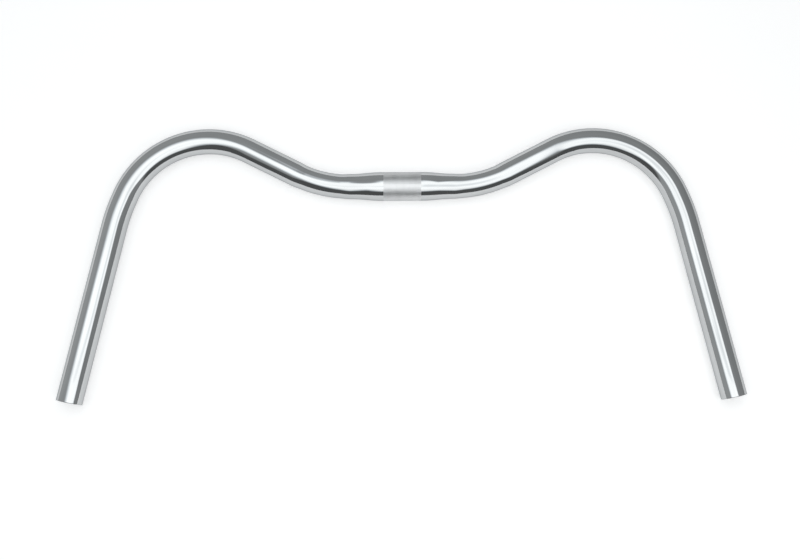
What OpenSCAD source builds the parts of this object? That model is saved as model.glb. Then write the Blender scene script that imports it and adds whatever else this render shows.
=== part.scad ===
// Swept-back handlebar: one aluminium tube, swelled at the stem clamp and bent in one plane.
// Origin at the middle of the stem clamp, +X along the clamp, +Y forward, +Z up.
// The rider sits towards -Y. Each arm leaves the clamp along X, dips forward,
// turns over its shoulder and runs back to an open end.

/* [Tube] */
// Outside diameter of the tube, and so of both grips
tube_d = 22.2; // [19:0.1:24]
// Wall thickness, the same all along the bar
wall = 2.1; // [1.2:0.1:3.5]
// Rounding of the outer edge at each open end
end_round = 0.7; // [0.2:0.1:1.1]
// Chamfer of the inner edge at each open end
bore_chamfer = 0.4; // [0.1:0.1:0.8]

/* [Stem clamp] */
// Outside diameter of the swelled centre that the stem grips
clamp_d = 25.4; // [24.4:0.1:31.8]
// Length of the centre at its full diameter
clamp_len = 32; // [20:1:60]
// Length over which each side narrows to the tube
taper_len = 30; // [18:1:60]

/* [Forward bends] */
// Centreline radius of the bend that leaves the clamp
front_bend_r = 103; // [50:1:160]
// Angle of the bend that leaves the clamp
front_bend_angle = 27; // [10:0.5:45]
// Straight between the forward bend and the shoulder
link_len = 47; // [10:1:90]

/* [Shoulders] */
// Centreline radius of the main bend
main_bend_r = 78; // [45:1:120]
// Angle of the main bend
main_bend_angle = 95.5; // [70:0.5:115]
// Straight between the main bend and the slack bend
gap_len = 5; // [2:0.5:40]
// Centreline radius of the slack bend that leads into the grip
slack_bend_r = 150; // [100:1:400]
// Angle of the slack bend
slack_bend_angle = 9; // [2:0.5:20]

/* [Grips] */
// Straight length of each grip, to the end of the tube
grip_len = 155; // [90:1:220]

/* [Hidden] */
$fn = 96;
// Where the first bend starts, measured from the middle of the clamp
clamp_half = clamp_len / 2 + taper_len;
// A bend is this much thicker than the straights beside it, and they reach this far into it,
// so that no two surfaces run together
skin = 0.005;
lap = 0.02;
// How far the core that hollows the tube runs past its ends
overrun = 2;

// Radius of the two equal arcs that step down by drop over len, tangent at both ends
function ogee_r(drop, len) = (len * len + drop * drop) / (4 * drop);

// Half of the swelled centre in section: radius along X, distance from the middle along Y
module swell_section(mid_r, tube_r) {
    arc_r = ogee_r(mid_r - tube_r, taper_len);
    square([mid_r, clamp_len / 2]);
    // the shoulder, rounded outwards
    intersection() {
        translate([mid_r - arc_r, clamp_len / 2]) circle(r = arc_r, $fn = 360);
        translate([0, clamp_len / 2]) square([2 * mid_r, taper_len / 2]);
    }
    // the foot, rounded inwards
    difference() {
        translate([0, clamp_len / 2 + taper_len / 2]) square([mid_r, taper_len / 2]);
        translate([tube_r + arc_r, clamp_half]) circle(r = arc_r, $fn = 360);
    }
}

// The clamp zone, a solid of revolution about X
module swell(mid_r, tube_r) {
    for (side = [0, 1])
        mirror([side, 0, 0])
            rotate([90, 0, 90]) rotate_extrude() swell_section(mid_r, tube_r);
}

// A straight run along X, with what follows it placed at its far end. Each end reaches a
// hair into the bend that it meets, inside its skin.
module straight(r, len) {
    translate([-lap, 0, 0]) rotate([90, 0, 90]) cylinder(r = r, h = len + 2 * lap);
    translate([len, 0, 0]) children();
}

// A bend in the plane of the bar that starts along X and turns by angle, with what follows
// it placed at its far end. It is the slice of a full ring between its two end planes.
// A positive angle turns to the left, seen from above.
module bend(r, bend_r, angle) {
    side = sign(angle);
    reach = bend_r + 2 * r;
    translate([0, side * bend_r, 0]) {
        intersection() {
            rotate([0, 0, side * 90]) rotate_extrude($fn = 360)
                translate([bend_r, 0]) rotate(side > 0 ? 180 : 0) circle(r = r + skin, $fn = 96);
            translate([0, -reach, -2 * r]) cube([reach, 2 * reach, 4 * r]);
            rotate([0, 0, angle]) translate([-reach, -reach, -2 * r]) cube([reach, 2 * reach, 4 * r]);
        }
        rotate([0, 0, angle]) translate([0, -side * bend_r, 0]) children();
    }
}

// One arm from the clamp to where its grip starts, with the grip placed there
module arm(r) {
    translate([clamp_half, 0, 0])
        bend(r, front_bend_r, front_bend_angle)
        straight(r, link_len)
        bend(r, main_bend_r, -main_bend_angle)
        straight(r, gap_len)
        bend(r, slack_bend_r, -slack_bend_angle)
        children();
}

// Outside of a grip, turned about its own axis with a rounded rim
module grip_outside(r) {
    rotate([90, 0, 90]) rotate_extrude() {
        translate([0, -lap]) square([r, lap + grip_len - end_round]);
        translate([0, grip_len - end_round - lap]) square([r - end_round, lap + end_round]);
        translate([r - end_round, grip_len - end_round]) intersection() {
            circle(r = end_round);
            square(2 * end_round);
        }
    }
}

// Inside of a grip, with the funnel at its mouth run out past the end of the tube
module grip_inside(r) {
    rotate([90, 0, 90]) rotate_extrude() polygon([
        [0, -lap], [r, -lap], [r, grip_len - bore_chamfer],
        [r + bore_chamfer + overrun, grip_len + overrun], [0, grip_len + overrun]
    ]);
}

// The whole bar as a solid rod
module rod() {
    r = tube_d / 2;
    swell(clamp_d / 2, r);
    for (side = [0, 1])
        mirror([side, 0, 0]) arm(r) grip_outside(r);
}

// What is hollow inside it, one wall smaller all along
module core() {
    r = tube_d / 2 - wall;
    swell(clamp_d / 2 - wall, r);
    for (side = [0, 1])
        mirror([side, 0, 0]) arm(r) grip_inside(r);
}

module handlebar() {
    color([0.82, 0.83, 0.84]) difference() {
        rod();
        core();
    }
}

handlebar();
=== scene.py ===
import math

import bmesh
import bpy
from mathutils import Matrix


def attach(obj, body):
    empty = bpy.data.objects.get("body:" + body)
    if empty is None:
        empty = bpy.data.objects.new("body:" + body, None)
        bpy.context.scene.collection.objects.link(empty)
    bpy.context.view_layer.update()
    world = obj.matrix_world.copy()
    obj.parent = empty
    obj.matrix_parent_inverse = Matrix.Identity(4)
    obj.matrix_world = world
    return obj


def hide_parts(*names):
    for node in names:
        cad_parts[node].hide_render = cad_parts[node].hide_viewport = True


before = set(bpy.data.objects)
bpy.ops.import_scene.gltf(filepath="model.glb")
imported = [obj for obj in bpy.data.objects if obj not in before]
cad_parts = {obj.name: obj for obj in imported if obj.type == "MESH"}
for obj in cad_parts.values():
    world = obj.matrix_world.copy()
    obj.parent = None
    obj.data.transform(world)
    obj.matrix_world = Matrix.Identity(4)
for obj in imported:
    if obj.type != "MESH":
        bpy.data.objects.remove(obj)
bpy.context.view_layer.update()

MM = 0.001

# The tube, as in the CAD source. Each bend is its centreline radius and its angle, which is
# positive where it turns left.
TUBE_R = 11.1 * MM
CLAMP_R = 12.7 * MM
WALL = 2.1 * MM
CLAMP_HALF = 16 * MM
TAPER = 30 * MM
FRONT_BEND = (103 * MM, math.radians(27))
LINK = 47 * MM
MAIN_BEND = (78 * MM, math.radians(-95.5))
GAP = 5 * MM
SLACK_BEND = (150 * MM, math.radians(-9))
GRIP = 155 * MM
END_ROUND = 0.7 * MM
BORE_CHAMFER = 0.4 * MM

# Points round the tube
SEGMENTS = 144

# The knurl: half its length, its rings, how far its tips stay inside the CAD model's clamp,
# and how deep its grooves are below them
KNURL_HALF = 16.5 * MM
KNURL_RINGS = 30
KNURL_TIP = 0.04 * MM
KNURL_DEPTH = 0.06 * MM

# How much a bend presses the tube flat in the plane of the bar, and swells it upright, and
# over what share of its angle that comes on at each end
FRONT_SQUEEZE = (0.953, 1.015)
MAIN_SQUEEZE = (0.994, 1.003)
NO_SQUEEZE = (1.0, 1.0)
SQUEEZE_RAMP = 1 / 6

# The arm from the clamp to the grip: each bend or straight, its rings on the skin and in
# the bore, and its squeeze
SKIN_RINGS, BORE_RINGS = 0, 1
ARM = (
    ("bend", FRONT_BEND, (36, 18), FRONT_SQUEEZE),
    ("straight", LINK, (8, 4), NO_SQUEEZE),
    ("bend", MAIN_BEND, (64, 32), MAIN_SQUEEZE),
    ("straight", GAP, (1, 1), NO_SQUEEZE),
    ("bend", SLACK_BEND, (8, 4), NO_SQUEEZE),
)
# Rings of the skin over the taper, along the grip and round the lip
TAPER_RINGS, GRIP_RINGS, LIP_RINGS = 20, 8, 6
# Where the bore has rings: in the grip, and in the clamp zone from its end to the middle
GRIP_BORE = (GRIP - BORE_CHAMFER, GRIP - 4 * MM, GRIP * 0.75, GRIP * 0.5, GRIP * 0.25)
CLAMP_BORE = tuple(x * MM for x in (46, 40, 36, 31, 26, 21, 16, 8, 0))
# A ring on the cut face, this share of the way out from the bore's mouth
CUT_RING = 0.45

# Points nearer than this are one, and faces that meet more sharply than this show an edge
MERGE = 1e-6
SHARP = math.radians(32)

# Which material each stretch of the surface takes
POLISHED, KNURLED, BORE, CUT = range(4)


# ---------------------------------------------------------------- the path of the tube

def ogee_drop(q, drop, length):
    """How far the swell has fallen, q along its two equal arcs."""
    arc = (length ** 2 + drop ** 2) / (4 * drop)
    if q < length / 2:
        return arc - math.sqrt(arc ** 2 - q ** 2)
    return drop - arc + math.sqrt(arc ** 2 - (length - q) ** 2)


def clamp_radius(x, inset):
    """Radius of the clamp zone at x, for the skin (inset 0) or the bore (inset one wall)."""
    if x <= CLAMP_HALF:
        return CLAMP_R - inset
    return CLAMP_R - inset - ogee_drop(x - CLAMP_HALF, CLAMP_R - TUBE_R, TAPER)


def along(pose, length):
    return pose @ Matrix.Translation((length, 0, 0))


def around(pose, bend, part):
    """The pose after that part of a bend, which turns left where its angle is positive."""
    radius, angle = bend
    side = math.copysign(radius, angle)
    return (pose @ Matrix.Translation((0, side, 0)) @ Matrix.Rotation(angle * part, 4, "Z")
            @ Matrix.Translation((0, -side, 0)))


def blend_squeeze(a, b, part):
    """The squeeze that far on the way from a to b."""
    return tuple(p + (q - p) * part for p, q in zip(a, b))


def arm_stations(radius, surface):
    """(pose, distance run, radius, squeeze) from the first bend to where the grip starts,
    with the rings of the skin or of the bore."""
    pose = along(Matrix.Identity(4), CLAMP_HALF + TAPER)
    run = CLAMP_HALF + TAPER
    rows = []
    for kind, size, rings, squeeze in ARM:
        length = size if kind == "straight" else size[0] * abs(size[1])
        for k in range(1, rings[surface] + 1):
            part = k / rings[surface]
            here = along(pose, size * part) if kind == "straight" else around(pose, size, part)
            fade = min(1.0, part / SQUEEZE_RAMP, (1 - part) / SQUEEZE_RAMP)
            rows.append((here, run + length * part, radius,
                         blend_squeeze(NO_SQUEEZE, squeeze, fade)))
        pose, run = rows[-1][0], run + length
    return rows


def skin_stations():
    """Every ring of the outside, from the middle of the clamp to the lip at the open end:
    (pose, distance run, radius, squeeze, finish)."""
    start = Matrix.Identity(4)
    rows = []
    for k in range(KNURL_RINGS + 1):
        x = KNURL_HALF * k / KNURL_RINGS
        rows.append((along(start, x), x, clamp_radius(x, 0), NO_SQUEEZE, KNURLED))
    for k in range(1, TAPER_RINGS + 1):
        x = KNURL_HALF + (CLAMP_HALF + TAPER - KNURL_HALF) * k / TAPER_RINGS
        rows.append((along(start, x), x, clamp_radius(x, 0), NO_SQUEEZE, POLISHED))
    rows += [row + (POLISHED,) for row in arm_stations(TUBE_R, SKIN_RINGS)]
    pose, run = rows[-1][0], rows[-1][1]
    for k in range(1, GRIP_RINGS + 1):
        x = (GRIP - END_ROUND) * k / GRIP_RINGS
        rows.append((along(pose, x), run + x, TUBE_R, NO_SQUEEZE, POLISHED))
    for k in range(1, LIP_RINGS + 1):
        turn = math.radians(90 * k / LIP_RINGS)
        x = GRIP - END_ROUND + END_ROUND * math.sin(turn)
        radius = TUBE_R - END_ROUND + END_ROUND * math.cos(turn)
        rows.append((along(pose, x), run + x, radius, NO_SQUEEZE, POLISHED))
    return rows


def bore_stations():
    """Every ring of the inside, from the cut face back to the middle of the clamp, in the
    same form."""
    inner = TUBE_R - WALL
    arm = arm_stations(inner, BORE_RINGS)
    pose, run = arm[-1][0], arm[-1][1]
    mouth = inner + BORE_CHAMFER
    cut_ring = mouth + CUT_RING * (TUBE_R - END_ROUND - mouth)
    rows = [(along(pose, GRIP), run + GRIP, radius, NO_SQUEEZE, CUT)
            for radius in (cut_ring, mouth)]
    for x in GRIP_BORE:
        rows.append((along(pose, x), run + x, inner, NO_SQUEEZE, BORE))
    rows += [row + (BORE,) for row in reversed(arm)]
    for x in CLAMP_BORE:
        rows.append((along(Matrix.Identity(4), x), x, clamp_radius(x, WALL), NO_SQUEEZE, BORE))
    return rows


# ---------------------------------------------------------------- the bar's mesh

def into_scene(name, bm):
    """Makes the drawn mesh an object of the scene."""
    mesh = bpy.data.meshes.new(name)
    bm.to_mesh(mesh)
    bm.free()
    made = bpy.data.objects.new(name, mesh)
    bpy.context.scene.collection.objects.link(made)
    return made


def sizing(radius, squeeze):
    """Brings a circle of radius 1 to a ring's size."""
    return Matrix.Diagonal((1, radius * squeeze[0], radius * squeeze[1], 1))


def ring_edges(ring):
    """The edges between the points of one ring."""
    own = set(ring)
    return list({e for v in ring for e in v.link_edges if e.other_vert(v) in own})


def draw_tube(bm, layer):
    """Draws the right half as one skin: a circle taken from ring to ring down the outside,
    round the lip and back up the bore. Each point keeps where it would be on the same bar
    pulled straight, for the finishes to follow. Returns the knurled band's rings."""
    stations = skin_stations() + bore_stations()
    made = bmesh.ops.create_circle(
        bm, segments=SEGMENTS, radius=1.0, matrix=Matrix.Rotation(math.radians(90), 4, "Y"))
    ring = made["verts"]
    placed = Matrix.Identity(4)
    band = []
    for number, (pose, run, radius, squeeze, finish) in enumerate(stations):
        if number:
            made = bmesh.ops.extrude_edge_only(bm, edges=ring_edges(ring))
            ring = [g for g in made["geom"] if isinstance(g, bmesh.types.BMVert)]
            for edge in ring_edges(ring):
                for face in edge.link_faces:
                    face.material_index = finish
        wanted = pose @ sizing(radius, squeeze)
        bmesh.ops.transform(bm, matrix=wanted @ placed.inverted(), verts=ring)
        placed = wanted
        back = pose.inverted()
        for v in ring:
            local = back @ v.co
            v[layer] = (run, local.y, local.z)
        if number <= KNURL_RINGS:
            band.append(ring)
    return band


def press_in(bm, verts, depth):
    """Moves points of the clamp that much nearer to the tube's axis."""
    size = 1 - depth / CLAMP_R
    bmesh.ops.scale(bm, vec=(1, size, size), verts=verts)


def cut_knurl(bm, layer, band):
    """Presses the grooves of the diamond knurl in round the clamp. The corners of the mesh
    are tips and groove crossings in turn, and each square folds along its groove. The
    band's last ring is all tips, so that the band ends in an even edge."""
    for number, ring in enumerate(band[:-1]):
        low, high = [], []
        for v in ring:
            slot = round(math.atan2(v[layer].z, v[layer].y) / math.tau * SEGMENTS)
            (low if (slot + number) % 2 else high).append(v)
        press_in(bm, low, KNURL_TIP + KNURL_DEPTH)
        press_in(bm, high, KNURL_TIP)
    press_in(bm, band[-1], KNURL_TIP)
    squares = [f for f in bm.faces if f.material_index == KNURLED]
    for face in squares:
        low = [v for v in face.verts
               if math.hypot(v.co.y, v.co.z) < CLAMP_R - KNURL_TIP - KNURL_DEPTH / 2]
        if len(low) == 2:
            bmesh.utils.face_split(face, low[0], low[1])


def build_bar():
    """The whole bar: its right half drawn and knurled, mirrored, and closed at the middle."""
    bm = bmesh.new()
    layer = bm.verts.layers.float_vector.new("straightened")
    band = draw_tube(bm, layer)
    cut_knurl(bm, layer, band)
    bmesh.ops.mirror(bm, geom=bm.verts[:] + bm.edges[:] + bm.faces[:],
                     axis="X", merge_dist=MERGE)
    bmesh.ops.remove_doubles(bm, verts=bm.verts, dist=MERGE)
    for v in bm.verts:
        if v.co.x < 0:
            v[layer] = (-v[layer].x, v[layer].y, v[layer].z)
    bmesh.ops.recalc_face_normals(bm, faces=bm.faces)
    bar = into_scene("handlebar_tube", bm)
    bar.data.set_sharp_from_angle(angle=SHARP)
    for face in bar.data.polygons:
        face.use_smooth = face.material_index != KNURLED
    return bar


# ---------------------------------------------------------------- finishes

WHITE = (1, 1, 1, 1)


class Nodes:
    """A material's node tree, with one short call for each node."""

    def __init__(self, name):
        self.material = bpy.data.materials.new(name)
        self.material.use_nodes = True
        self.tree = self.material.node_tree
        self.tree.nodes.clear()

    def add(self, kind, inputs=None, **settings):
        node = self.tree.nodes.new(kind)
        for key, value in settings.items():
            setattr(node, key, value)
        for key, value in (inputs or {}).items():
            self.put(node, key, value)
        return node

    def put(self, node, key, value):
        if isinstance(value, bpy.types.NodeSocket):
            self.tree.links.new(value, node.inputs[key])
        else:
            node.inputs[key].default_value = value

    def math(self, operation, a, b):
        return self.add("ShaderNodeMath", {0: a, 1: b}, operation=operation).outputs[0]

    def spread(self, value, low, high, to_low, to_high):
        """value, with low to high brought evenly to to_low to to_high."""
        return self.add("ShaderNodeMapRange", {
            "Value": value, "From Min": low, "From Max": high,
            "To Min": to_low, "To Max": to_high}).outputs[0]

    def soft_step(self, value, start, end):
        """1 below start, 0 above end, eased between them."""
        return self.add("ShaderNodeMapRange", {
            "Value": value, "From Min": start, "From Max": end,
            "To Min": 1.0, "To Max": 0.0}, interpolation_type="SMOOTHSTEP").outputs[0]

    def noise(self, vector, scale, detail, rough):
        placed = self.add("ShaderNodeMapping", {"Vector": vector, "Scale": scale})
        return self.add("ShaderNodeTexNoise", {
            "Vector": placed.outputs[0], "Scale": 1.0, "Detail": detail,
            "Roughness": rough}).outputs["Fac"]

    def tint(self, value, dark, light):
        """The colour between dark, at 0, and light, at 1."""
        mix = self.add("ShaderNodeMix", {0: value}, data_type="RGBA")
        mix.inputs[6].default_value = dark + (1,)
        mix.inputs[7].default_value = light + (1,)
        return mix.outputs[2]


# How many to a metre, along the tube and across it: drawn lines, grit, clouds and streaks
LINES = (22, 1700, 1700)
GRIT = (90, 6500, 6500)
CLOUDS, KNURL_CLOUDS = (26, 60, 60), (110, 90, 90)
STREAKS, KNURL_STREAKS = (5, 260, 260), (14, 520, 520)
# The turned lines on the cut ends: the rate of their wave, which puts them 0.24 mm apart
TURNED_RATE = 26000.0
# How high the grit stands beside the lines
GRIT_SHARE = 0.5
# Between these the noise mostly keeps, on its own and as the sum of two
NOISE_RANGE = (0.3, 0.7)
SUM_RANGE = (0.75, 1.25)
# How much of the reflection is left at a glancing angle
RIM_TINT = (0.55, 0.56, 0.57, 1)


def turned_lines(n, spot):
    """Fine rings about the tube's axis, from 0 in their grooves to 1 on their crests."""
    parts = n.add("ShaderNodeSeparateXYZ", {0: spot})
    reach = n.math("SQRT", n.math("ADD",
                                  n.math("POWER", parts.outputs[1], 2.0),
                                  n.math("POWER", parts.outputs[2], 2.0)), 0.0)
    wave = n.math("SINE", n.math("MULTIPLY", reach, TURNED_RATE), 0.0)
    return n.spread(wave, -1, 1, 0, 1)


def aluminium(name, dark, light, rough, lines, haze, bump_depth,
              clouds=CLOUDS, streaks=STREAKS, turned=False):
    """Aluminium with lines drawn along the tube (or turned round it), a cloudy haze and a
    little grit. rough is the range of roughness, lines and haze their shares of it."""
    n = Nodes(name)
    spot = n.add("ShaderNodeAttribute", attribute_name="straightened").outputs["Vector"]
    drawn = turned_lines(n, spot) if turned else n.noise(spot, LINES, detail=3, rough=0.6)
    fine = n.noise(spot, GRIT, detail=2, rough=0.5)
    cloud = n.noise(spot, clouds, detail=4, rough=0.55)
    streak = n.noise(spot, streaks, detail=2, rough=0.5)
    worn = n.math("ADD", n.math("MULTIPLY", drawn, lines), n.math("MULTIPLY", cloud, haze))
    least, most = (bound * (lines + haze) for bound in NOISE_RANGE)
    roughness = n.spread(worn, least, most, *rough)
    colour = n.tint(n.spread(n.math("ADD", streak, cloud), *SUM_RANGE, 0, 1), dark, light)
    height = n.math("ADD", drawn, n.math("MULTIPLY", fine, GRIT_SHARE))
    bump = n.add("ShaderNodeBump", {"Height": height, "Strength": 1.0,
                                    "Distance": bump_depth})
    shader = n.add("ShaderNodeBsdfPrincipled", {
        "Base Color": colour, "Metallic": 1.0, "Roughness": roughness,
        "Specular Tint": RIM_TINT, "Normal": bump.outputs[0]})
    n.add("ShaderNodeOutputMaterial", {"Surface": shader.outputs[0]})
    return n.material


def finishes():
    """The four finishes of the one piece of metal."""
    return {
        POLISHED: aluminium(
            "polished_aluminium", dark=(0.485, 0.495, 0.50), light=(0.54, 0.55, 0.555),
            rough=(0.045, 0.095), lines=0.6, haze=0.4, bump_depth=1.2e-6),
        KNURLED: aluminium(
            "knurled_aluminium", dark=(0.54, 0.545, 0.55), light=(0.68, 0.685, 0.69),
            rough=(0.30, 0.46), lines=0.3, haze=0.7, bump_depth=3e-6,
            clouds=KNURL_CLOUDS, streaks=KNURL_STREAKS),
        BORE: aluminium(
            "drawn_bore_aluminium", dark=(0.42, 0.43, 0.44), light=(0.54, 0.54, 0.55),
            rough=(0.38, 0.55), lines=0.7, haze=0.3, bump_depth=1e-5),
        CUT: aluminium(
            "turned_end_aluminium", dark=(0.52, 0.53, 0.54), light=(0.60, 0.60, 0.61),
            rough=(0.18, 0.32), lines=0.6, haze=0.4, bump_depth=4e-6, turned=True),
    }


# ---------------------------------------------------------------- studio

def square_card(name, width, place):
    """A flat square card that faces up, for the floor or the light."""
    bm = bmesh.new()
    bmesh.ops.create_grid(bm, x_segments=1, y_segments=1, size=width / 2)
    bmesh.ops.translate(bm, vec=place, verts=bm.verts)
    card = into_scene(name, bm)
    return card


# The floor carries the bar at its clamp, the thickest part of it
FLOOR_Z = -CLAMP_R
FLOOR_SIZE = 60
FLOOR_COLOUR = (0.72, 0.72, 0.72)
# How much of a plain white the paper shows besides the light that falls on it
FLOOR_GLOW = 0.46
# Round this middle, where the paper takes the bar's shadow and where its own white has
# taken over
FLOOR_MIDDLE = (0, -0.1, 0)
FLOOR_NEAR = (0.30, 1.00)


def lay_floor():
    """White paper that takes the bar's shadow. Away from the bar, where the light falls
    off, its own white takes over, so that it runs into the white surround. From under it
    the paper is clear, so that the bar's underside shows."""
    floor = square_card("studio_floor", FLOOR_SIZE, (0, 0, FLOOR_Z))
    n = Nodes("studio_floor")
    ray = n.add("ShaderNodeLightPath")
    seen = n.math("ADD", ray.outputs["Is Camera Ray"], n.math(
        "ADD", ray.outputs["Is Glossy Ray"], ray.outputs["Is Transmission Ray"]))
    paper = n.add("ShaderNodeBsdfDiffuse", {"Color": FLOOR_COLOUR + (1,)})
    glow = n.add("ShaderNodeEmission", {
        "Color": WHITE, "Strength": n.math("MULTIPLY", seen, FLOOR_GLOW)})
    near = n.add("ShaderNodeAddShader", {0: paper.outputs[0], 1: glow.outputs[0]})
    far = n.add("ShaderNodeEmission", {"Color": WHITE, "Strength": seen})
    place = n.add("ShaderNodeTexCoord").outputs["Object"]
    reach = n.add("ShaderNodeVectorMath", {0: place, 1: FLOOR_MIDDLE},
                  operation="DISTANCE").outputs["Value"]
    both = n.add("ShaderNodeMixShader", {
        0: n.soft_step(reach, *FLOOR_NEAR), 1: far.outputs[0], 2: near.outputs[0]})
    clear = n.add("ShaderNodeBsdfTransparent")
    sided = n.add("ShaderNodeMixShader", {
        0: n.add("ShaderNodeNewGeometry").outputs["Backfacing"],
        1: both.outputs[0], 2: clear.outputs[0]})
    n.add("ShaderNodeOutputMaterial", {"Surface": sided.outputs[0]})
    floor.data.materials.append(n.material)


# The overhead light: its card's size, its height and middle, how far it is turned about the
# upright, and for each edge where its even part ends and where the light has faded away
LIGHT_CARD = 3.2
LIGHT_HEIGHT = 0.85
LIGHT_MIDDLE = (0.0, -0.22)
LIGHT_TURN = math.radians(28)
LIGHT_LEFT, LIGHT_RIGHT = (0.30, 0.72), (0.45, 0.59)
LIGHT_FRONT, LIGHT_REAR = (0.38, 0.84), (0.55, 1.10)
LIGHT_STRENGTH = 1.46
# Where its glow is dimmed in soft ovals, as by what would hang under it: middle, half width
# and depth, and the share of the light each takes. As a boom from the right, its clamp, and a
# flag at the front left.
# Each is full over the first part of its reach and gone at the end of it.
FLAGS = (((0.12, -0.215), (0.50, 0.070), 0.20),
         ((0.17, -0.080), (0.19, 0.180), 0.27),
         ((-0.20, 0.420), (0.18, 0.320), 0.92))
FLAG_EDGE = (0.3, 1.0)
# The light's tint where it is faint and where it is full
LIGHT_TINT = (0.86, 0.95, 1.03), (0.985, 1.0, 1.0)


def hang_light():
    """One big soft light over the bar, even in the middle and fading to its edges, and dimmed
    in soft ovals as by what would hang under it."""
    light = square_card("overhead_light", LIGHT_CARD, LIGHT_MIDDLE + (LIGHT_HEIGHT,))
    n = Nodes("overhead_light")
    place = n.add("ShaderNodeTexCoord").outputs["Object"]
    flat = n.add("ShaderNodeVectorMath", {0: place, 1: (1, 1, 0)},
                 operation="MULTIPLY").outputs[0]
    strength = LIGHT_STRENGTH
    for middle, half, share in FLAGS:
        off = n.add("ShaderNodeVectorMath", {0: flat, 1: middle + (0,)},
                    operation="SUBTRACT").outputs[0]
        off = n.add("ShaderNodeVectorMath", {0: off, 1: half + (1,)},
                    operation="DIVIDE").outputs[0]
        off = n.add("ShaderNodeVectorMath", {0: off}, operation="LENGTH").outputs["Value"]
        taken = n.math("MULTIPLY", n.soft_step(off, *FLAG_EDGE), share)
        kept = n.math("SUBTRACT", 1.0, taken)
        strength = n.math("MULTIPLY", kept, strength)
    spot = n.add("ShaderNodeVectorMath", {0: place, 1: LIGHT_MIDDLE + (0,)},
                 operation="SUBTRACT").outputs[0]
    spot = n.add("ShaderNodeVectorRotate", {"Vector": spot, "Angle": -LIGHT_TURN},
                 rotation_type="Z_AXIS").outputs[0]
    parts = n.add("ShaderNodeSeparateXYZ", {0: spot})
    x, y = parts.outputs[0], parts.outputs[1]
    level = n.math("MULTIPLY", n.soft_step(x, *LIGHT_RIGHT), n.soft_step(y, *LIGHT_FRONT))
    for value, reach in ((x, LIGHT_LEFT), (y, LIGHT_REAR)):
        back = n.soft_step(n.math("MULTIPLY", value, -1.0), *reach)
        level = n.math("MULTIPLY", level, back)
    level = n.math("MULTIPLY", level, strength)
    glow = n.add("ShaderNodeEmission", {
        "Color": n.tint(n.spread(level, 0.0, LIGHT_STRENGTH, 0, 1), *LIGHT_TINT),
        "Strength": level})
    clear = n.add("ShaderNodeBsdfTransparent")
    both = n.add("ShaderNodeAddShader", {0: clear.outputs[0], 1: glow.outputs[0]})
    n.add("ShaderNodeOutputMaterial", {"Surface": both.outputs[0]})
    light.data.materials.append(n.material)
    light.visible_camera = False


# The studio's walls, as strengths of a dim glow, and the glow's tint
RIGHT_WALL, LEFT_WALL, REAR_WALL = 0.33, 0.50, 0.125
WALL_TINT = (0.97, 1.0, 1.01, 1)
# How far back the rear wall gives way to the side walls, where -1 is straight back
REAR_EDGE = (-0.65, -0.52)
# The shell: its radius, its faces round and up, and the height at which it is cut off
SHELL_RADIUS = 3.0
SHELL_ROUND, SHELL_UP = 64, 32
SHELL_FOOT = -0.01


def raise_walls():
    """A round studio shell whose walls are dim and even, and darker behind the rider."""
    bm = bmesh.new()
    bmesh.ops.create_uvsphere(bm, u_segments=SHELL_ROUND, v_segments=SHELL_UP,
                              radius=SHELL_RADIUS)
    bmesh.ops.bisect_plane(bm, geom=bm.verts[:] + bm.edges[:] + bm.faces[:],
                           plane_co=(0, 0, SHELL_FOOT), plane_no=(0, 0, 1), clear_inner=True)
    shell = into_scene("studio_walls", bm)
    n = Nodes("studio_walls")
    spot = n.add("ShaderNodeTexCoord").outputs["Object"]
    way = n.add("ShaderNodeVectorMath", {0: spot}, operation="NORMALIZE").outputs[0]
    parts = n.add("ShaderNodeSeparateXYZ", {0: way})
    sides = n.spread(parts.outputs[0], -1, 1, LEFT_WALL, RIGHT_WALL)
    behind = n.soft_step(parts.outputs[1], *REAR_EDGE)
    level = n.add("ShaderNodeMix", {0: behind, 2: sides, 3: REAR_WALL}, data_type="FLOAT")
    glow = n.add("ShaderNodeEmission", {"Color": WALL_TINT, "Strength": level.outputs[0]})
    n.add("ShaderNodeOutputMaterial", {"Surface": glow.outputs[0]})
    shell.data.materials.append(n.material)
    shell.visible_camera = False


def set_world():
    """A plain white surround for what shows past the floor and the walls."""
    world = bpy.data.worlds.new("white_surround")
    world.use_nodes = True
    surround = world.node_tree.nodes["Background"]
    surround.inputs["Color"].default_value = WHITE
    surround.inputs["Strength"].default_value = 1.0
    bpy.context.scene.world = world


# The camera, fitted to the tube's edges in the photograph: its sensor and lens in
# millimetres, its place, its turn about each axis, and how near and far it sees
SENSOR_WIDTH = 36.0
LENS = 43.098
CAMERA_PLACE = (-0.020483, -0.194510, 0.826233)
CAMERA_TURN = [math.radians(a) for a in (7.67673, -1.17648, -0.51441)]
CAMERA_REACH = (0.01, 100)


def set_camera():
    """Nearly straight above the bar, as the photograph was taken."""
    data = bpy.data.cameras.new("camera")
    data.sensor_width = SENSOR_WIDTH
    data.lens = LENS
    data.clip_start, data.clip_end = CAMERA_REACH
    camera = bpy.data.objects.new("camera", data)
    camera.location = CAMERA_PLACE
    camera.rotation_euler = CAMERA_TURN
    bpy.context.scene.collection.objects.link(camera)
    bpy.context.scene.camera = camera


# ---------------------------------------------------------------- putting it together

set_camera()
set_world()
lay_floor()
hang_light()
raise_walls()

bar = build_bar()
looks = finishes()
for index in (POLISHED, KNURLED, BORE, CUT):
    bar.data.materials.append(looks[index])
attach(bar, "root")
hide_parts("handlebar")

bpy.context.scene.view_settings.view_transform = "Standard"
